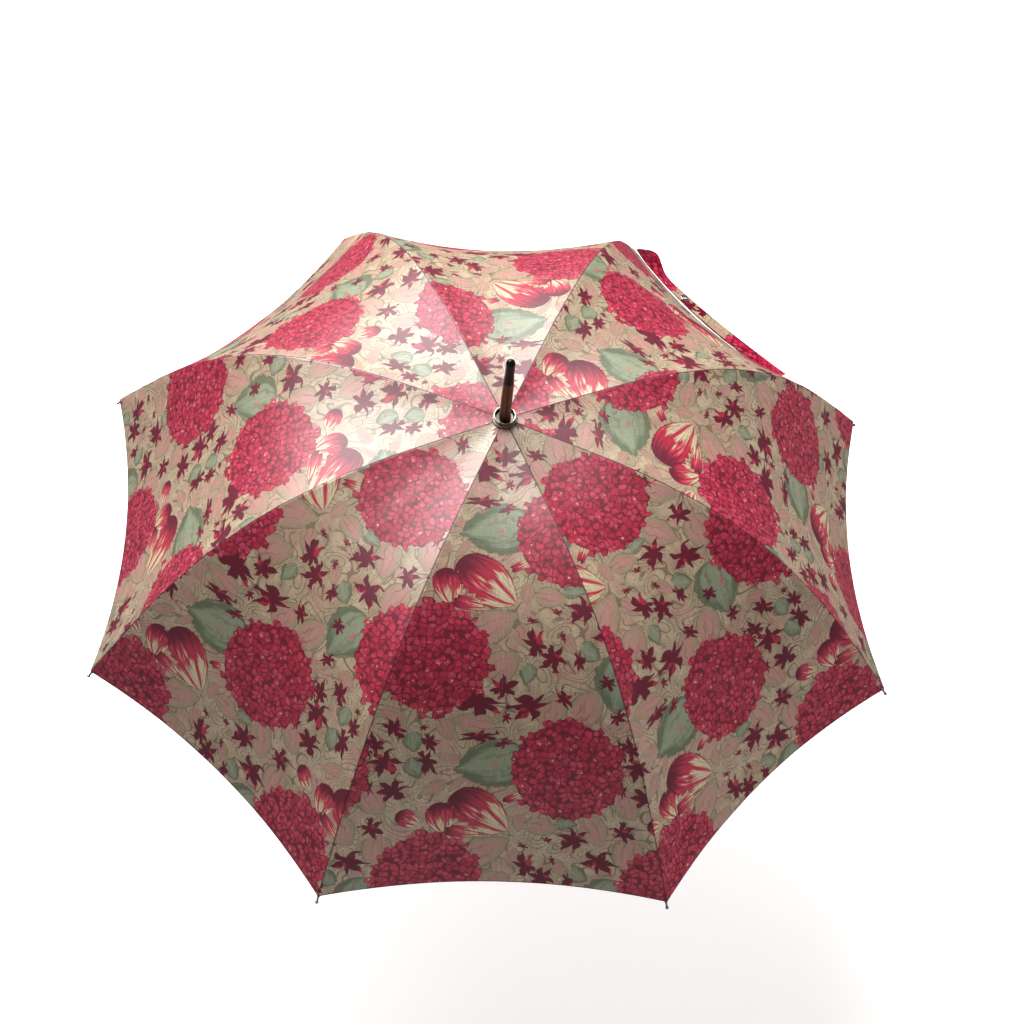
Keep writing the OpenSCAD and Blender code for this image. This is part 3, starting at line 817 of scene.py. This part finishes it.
def crown_rosette():
    inner, outer, half = 7.1, 14.3, 0.28
    radii = np.linspace(inner, outer, 9)
    top = [(r, CANOPY_Z + half) for r in radii]
    bottom = [(r, CANOPY_Z - half) for r in radii[::-1]]
    obj = lathe("crown_rosette", top + bottom, 120)
    mesh = obj.data
    co = np.zeros(len(mesh.vertices) * 3)
    mesh.vertices.foreach_get("co", co)
    co = co.reshape(-1, 3)
    r = np.hypot(co[:, 0], co[:, 1]) / MM
    a = np.arctan2(co[:, 1], co[:, 0])
    gather = np.clip((r - inner) / (outer - inner), 0, 1)
    co[:, 2] += 0.12 * MM * gather * np.sin(GATHERS * a + 1.3 * np.sin(3 * a))
    trim = 1 - 0.018 * gather**2 * (1 - np.cos(GATHERS * a)) / 2
    co[:, :2] *= trim[:, None]
    mesh.vertices.foreach_set("co", co.ravel())
    mesh.materials.append(CLOTH_FRONT)
    print_attributes(mesh, co[:, :2] / MM * np.array([1, -1]), CUTS[1])
    set_edge(obj, outer - r, np.full(len(r), FAR))
    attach(obj, "stick")
    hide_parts("canopy_crown")


crown_rosette()

# ---------------------------------------------------------------- tie strap and its snap
STRAP_RIB = 5
STRAP_FROM, STRAP_TO, SNAP_AT = 0.05, 0.72, 0.27
STRAP_UP, STRAP_BRIDGE, STRAP_LIFT = 5.0, 6.0, 2.2
STRAP_W, STRAP_CLOTH, STRAP_TOP_W = 22.0, 0.4, 19.5
# Shares of the hem: past each end of the ribbon, its narrow start, and its turn on edge.
STRAP_END = 0.035
NARROW_LEN, NARROWER = 0.07, 15
TWIST_AT, TWIST = 0.06, 48
# Length of the hem between two ribs, and the snap's height over the ribbon's middle, in mm.
HEM_LEN = 372.0
SNAP_OVER = 1.35


def hem_frame(w, up, lift):
    """Point and outward normal beside the hem of the strap's gore; w runs from rib to rib."""
    v = 1 - np.abs(2 * w - 1)
    s = RIB_LEN - HEM_RISE * sink(v) - up
    p, n = gore_frame(s, v)
    p = p + (lift + STRAP_BRIDGE * sink(v))[..., None] * n
    near = (w < 0.5)[..., None]

    def both(q):
        return np.where(near, turn(q, azimuth(STRAP_RIB), True), turn(q, azimuth(STRAP_RIB + 1)))

    return both(p), both(n)


def strap_tilt(w):
    """The bridging ribbon leans: its hem edge stands up and its inner edge sinks towards the cloth."""
    room = STRAP_LIFT - 1.2 + STRAP_BRIDGE * sink(1 - np.abs(2 * w - 1))
    return np.arcsin(room / (STRAP_W / 2))


def tie_strap():
    """One ribbon that runs from the rib to its fold and back to the snap on top of itself."""
    out = np.linspace(STRAP_FROM - STRAP_END, STRAP_TO, 90)
    back = np.linspace(STRAP_TO, SNAP_AT - STRAP_END, 66)
    bend = np.linspace(0, math.pi, 9)[1:-1]
    low, high = STRAP_LIFT + 0.25, STRAP_LIFT + 0.92
    w_path = np.concatenate([out, STRAP_TO + 0.0016 * np.sin(bend), back])
    round_bend = (low + high) / 2 - (high - low) / 2 * np.cos(bend)
    lift = np.concatenate([np.full(len(out), low), round_bend, np.full(len(back), high)])
    run = np.concatenate([[0], np.cumsum(np.abs(np.diff(w_path)) * HEM_LEN)])
    top = np.arange(len(w_path)) > len(out) + len(bend) // 2 + 1
    across = np.linspace(-0.5, 0.5, 13)
    w = np.broadcast_to(w_path[:, None], (len(w_path), len(across)))
    narrow = NARROWER * np.clip(1 - (w_path - w_path[0]) / NARROW_LEN, 0, 1) ** 2
    wide = np.where(top, STRAP_TOP_W, STRAP_W - narrow)[:, None]
    wander = np.where(top, 0.9, 0.0)[:, None] * waves(run[:, None] / 30, 0 * run[:, None], 5)
    up = STRAP_UP + across[None, :] * wide + wander
    curl = 0.22 * np.cos(across * 2 * math.pi)[None, :]
    curl = curl * waves(run[:, None] / 18, across[None, :] * 3, 6)
    p, normal = hem_frame(w, up, lift[:, None] + curl)
    inward = np.gradient(p, axis=1)
    inward /= np.linalg.norm(inward, axis=-1, keepdims=True)
    lean = strap_tilt(w)
    off = across[None, :] * wide
    p = p - (off * np.sin(lean))[..., None] * normal - (off * (1 - np.cos(lean)))[..., None] * inward
    # Near the rib the ribbon turns up on its edge.
    twist = np.where(top, 0, TWIST)[:, None] * bell_curve(w_path, TWIST_AT, TWIST_AT)[:, None]
    t = np.radians(twist) + 0 * up
    rise = (across[None, :] + 0.5) * wide
    inward = np.gradient(p, axis=1)
    inward /= np.linalg.norm(inward, axis=-1, keepdims=True)
    arm = wide - rise
    p = p + (np.sin(t) * arm)[..., None] * normal + ((1 - np.cos(t)) * arm)[..., None] * inward
    along = np.gradient(p, axis=0)
    width_dir = np.gradient(p, axis=1)
    face = np.cross(width_dir, along)
    face /= np.linalg.norm(face, axis=-1, keepdims=True)
    thick = np.full(w.shape, STRAP_CLOTH)
    edge = (0.5 - np.abs(across))[None, :] * wide
    extra = {
        "flat": np.stack([np.broadcast_to(run[:, None], w.shape), across[None, :] * wide + 0 * w], -1),
        "edge": edge + 0 * w,
        "fold": fold_share(np.minimum(2 * w, 1)),
    }
    obj, per = grid_sheet("tie_strap", p, face, thick, extra, True)
    for slot in range(2):
        obj.data.materials[slot] = RIBBON
    print_attributes(obj.data, per["flat"], (16, 10, 1))
    # Painted shade over the ribbon's first 42 mm, full for the first 12 mm.
    wear_and_painted_shade = 0.9 * np.clip(1.4 - per["flat"][:, 0] / 30, 0, 1)
    set_edge(obj, per["edge"].ravel(), np.full(len(per["edge"]), FAR), wear_and_painted_shade)
    by_rib, _ = hem_frame(np.array(0.02), np.array(STRAP_UP), np.array(0.0))
    halfway, _ = hem_frame(np.array(0.5), np.array(STRAP_UP), np.array(0.0))
    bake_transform(obj)
    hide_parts("strap")


def strap_snap():
    p, normal = hem_frame(np.array(SNAP_AT), np.array(STRAP_UP), np.array(STRAP_LIFT))
    further, _ = hem_frame(np.array(SNAP_AT), np.array(STRAP_UP + 1), np.array(STRAP_LIFT))
    lean = strap_tilt(SNAP_AT)
    normal = normal * math.cos(lean) + (further - p) / np.linalg.norm(further - p) * math.sin(lean)
    p = p + SNAP_OVER * normal
    z = Vector(normal)
    place = Matrix.Translation(Vector(p * MM)) @ z.to_track_quat("Z", "Y").to_matrix().to_4x4()
    eye = 0.05
    profile = [(eye, 0), (6.2, 0), (6.5, 0.35), (6.45, 0.9), (6.1, 1.3), (5.5, 1.45), (4.9, 1.3), (4.5, 0.95)]
    profile += [(3.1, 0.8), (2.5, 1.0), (2.2, 1.35), (1.7, 1.5), (1.25, 1.35), (1.05, 0.9), (eye, 0.8)]
    obj = lathe("strap_snap_cap", profile, 64, place)
    obj.data.materials.append(NICKEL)
    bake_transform(obj)
    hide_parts("strap_snap")


tie_strap()
strap_snap()

# ---------------------------------------------------------------- thread ties and patches under the cloth
RIB_DROP = 3.2
RIB_JOINT = 330.0
TIES = (215.0, 452.0)
TIE_TURNS, TIE_PITCH, TIE_UP = 4, 0.66, 0.75
PATCH_LEN, PATCH_W, PATCH_DROP = 26.0, 14.0, 1.3


def rib_frame(s):
    """Point of the cloth over the rib at azimuth 0, and the directions along, across and out of it."""
    a, r, z, _ = rib_at(np.array(s))
    along = np.array([math.cos(a), 0, -math.sin(a)])
    return np.array([r, 0, z]), along, np.array([0, 1.0, 0]), np.array([math.sin(a), 0, math.cos(a)])


def thread_loop(centre, along, across, out, tube=0.32, sides=8, turns=36):
    """One turn of thread round the rib, as points [turns, sides]."""
    t = np.arange(turns) * 2 * math.pi / turns
    wide, high, square = 2.0, 2.05, 0.55
    c, s = np.cos(t), np.sin(t)
    ring = (np.sign(c) * np.abs(c) ** square * wide)[:, None] * across
    ring = ring + (np.sign(s) * np.abs(s) ** square * high)[:, None] * out
    spoke = c[:, None] * across + s[:, None] * out
    a = np.arange(sides) * 2 * math.pi / sides
    tube_points = np.cos(a)[None, :, None] * spoke[:, None, :] + np.sin(a)[None, :, None] * along
    return centre + ring[:, None, :] + tube * tube_points


def thread_ties(k):
    points, faces = [], []
    for place in TIES:
        for n_turn in range(TIE_TURNS):
            base = sum(len(x) for x in points)
            p, along, across, out = rib_frame(place + TIE_PITCH * n_turn)
            loop = thread_loop(p - (RIB_DROP - TIE_UP) * out, along, across, out)
            turns, sides = loop.shape[:2]
            i, j = np.meshgrid(np.arange(turns), np.arange(sides), indexing="ij")
            i2, j2 = (i + 1) % turns, (j + 1) % sides
            quads = np.stack([i * sides + j, i * sides + j2, i2 * sides + j2, i2 * sides + j], -1)
            points.append(turn(loop.reshape(-1, 3), azimuth(k)))
            faces.append(quads.reshape(-1, 4) + base)
    mesh = bpy.data.meshes.new(f"thread_ties_{k}")
    mesh.from_pydata((np.concatenate(points) * MM).tolist(), [], np.concatenate(faces).tolist())
    mesh.materials.append(THREAD)
    obj = bpy.data.objects.new(f"thread_ties_{k}", mesh)
    bpy.context.scene.collection.objects.link(obj)
    smooth(obj)
    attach(obj, f"rib_{k}")


def joint_patch(k):
    """A small oval of cloth between the rib's joint and the canopy, which the joint can't rub through."""
    u = np.linspace(-1, 1, 19)[:, None]
    w = np.linspace(-1, 1, 15)[None, :]
    s = RIB_JOINT + PATCH_LEN / 2 * u + 0 * w
    half = PATCH_W / 2 * np.sqrt(1 - 0.62 * u**2)
    across = half * w
    _, r, _, _ = rib_at(s)
    p, normal = gore_frame(s, np.abs(across) / (r * math.sin(HALF)))
    other = (across < 0)[..., None]
    normal = np.where(other, normal * np.array([1, -1, 1]), normal)
    p = np.where(other, p * np.array([1, -1, 1]), p)
    middle = w.shape[1] // 2
    out = normal[:, middle : middle + 1, :] * np.array([1, 0, 1])
    out = out / np.linalg.norm(out, axis=-1, keepdims=True)
    near_rib = np.exp(-((across / 1.2) ** 2))[..., None]
    normal = normal * (1 - near_rib) + out * near_rib
    mid = p - PATCH_DROP * normal
    rim = (1 - np.maximum(np.abs(w), np.abs(u))) * PATCH_W / 2
    mid, normal = turn(mid, azimuth(k)), turn(normal, azimuth(k))
    extra = {"flat": np.stack([across, s], -1), "edge": rim}
    obj, per = grid_sheet(f"joint_patch_{k}", mid, normal, np.full(rim.shape, 0.3), extra, False)
    print_attributes(obj.data, per["flat"], (60 * k, 0, 1))
    set_edge(obj, per["edge"].ravel(), np.full(len(per["edge"]), FAR))
    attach(obj, f"rib_{k}")


for k in NUMBERS:
    thread_ties(k)
    joint_patch(k)


# ---------------------------------------------------------------- floor, light, camera
LIT_POINT = Vector((0, 0, 0.6))
FLOOR_GAP = 0.0003


def area_light(name, direction, distance, size, power, glossy=True):
    light = bpy.data.lights.new(name, "AREA")
    light.shape = "DISK"
    light.size = size
    light.energy = power
    o = bpy.data.objects.new(name, light)
    bpy.context.scene.collection.objects.link(o)
    d = Vector(direction).normalized()
    o.location = LIT_POINT + d * distance
    o.rotation_mode = "QUATERNION"
    o.rotation_quaternion = (-d).to_track_quat("-Z", "Y")
    o.visible_glossy = glossy


floor_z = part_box("handle")[0].z - FLOOR_GAP
bpy.ops.mesh.primitive_plane_add(size=100, location=(0, 0, floor_z))
floor = bpy.context.object
floor.name = "floor"
m, n, shader = material("floor_paint")
paint = n.noise(n.add("TexCoord").outputs["Object"], 3.0, 4)
n.put(shader.inputs["Base Color"], n.mix(paint, rgb("F2F1EF"), rgb("EDECEA")))
shader.inputs["Roughness"].default_value = 0.9
shader.inputs["Emission Color"].default_value = (1, 1, 1, 1)
shader.inputs["Emission Strength"].default_value = 0.6
floor.data.materials.append(m)
floor.visible_glossy = False

bpy.ops.mesh.primitive_uv_sphere_add(segments=64, ring_count=32, radius=60)
backdrop = bpy.context.object
backdrop.name = "backdrop"
m = bpy.data.materials.new("backdrop_light")
m.use_nodes = True
m.node_tree.nodes.clear()
n = Net(m.node_tree)
glow = n.add("Emission")
paint = n.noise(n.add("TexCoord").outputs["Object"], 0.05, 1)
n.put(glow.inputs["Color"], n.mix(paint, rgb("F4F3F1"), rgb("EFEEEC")))
m.node_tree.links.new(glow.outputs[0], n.add("OutputMaterial").inputs[0])
backdrop.data.materials.append(m)
backdrop.visible_diffuse = False
backdrop.visible_glossy = False
backdrop.visible_shadow = False

area_light("key", (-0.3, 0.65, 0.69), 2.4, 2.3, 142)
area_light("front_fill", (0.2, -0.95, -0.12), 3.2, 2.4, 27, glossy=False)
area_light("right_fill", (0.97, 0.15, 0.1), 3.2, 2.4, 50, glossy=False)
world = bpy.data.worlds.new("studio")
bpy.context.scene.world = world
world.use_nodes = True
world.node_tree.nodes["Background"].inputs[0].default_value = (1.0, 1.0, 1.0, 1)
world.node_tree.nodes["Background"].inputs[1].default_value = 0.16

EYE = Vector((-0.13677, -1.37922, 2.65644))
AIM = Vector((0.01893, -0.01867, 0.52569))
ROLL = math.radians(7.0537)
cam = bpy.data.cameras.new("camera")
cam.sensor_width = 36
cam.lens = 75.84
cam.clip_start, cam.clip_end = 0.05, 300
camera = bpy.data.objects.new("camera", cam)
bpy.context.scene.collection.objects.link(camera)
forward = (AIM - EYE).normalized()
right = forward.cross(Vector((0, 0, 1))).normalized()
up = right.cross(forward)
right2 = right * math.cos(ROLL) + up * math.sin(ROLL)
up2 = up * math.cos(ROLL) - right * math.sin(ROLL)
camera.matrix_world = Matrix.Translation(EYE) @ Matrix((right2, up2, -forward)).transposed().to_4x4()
bpy.context.scene.camera = camera
bpy.context.scene.view_settings.view_transform = "Standard"
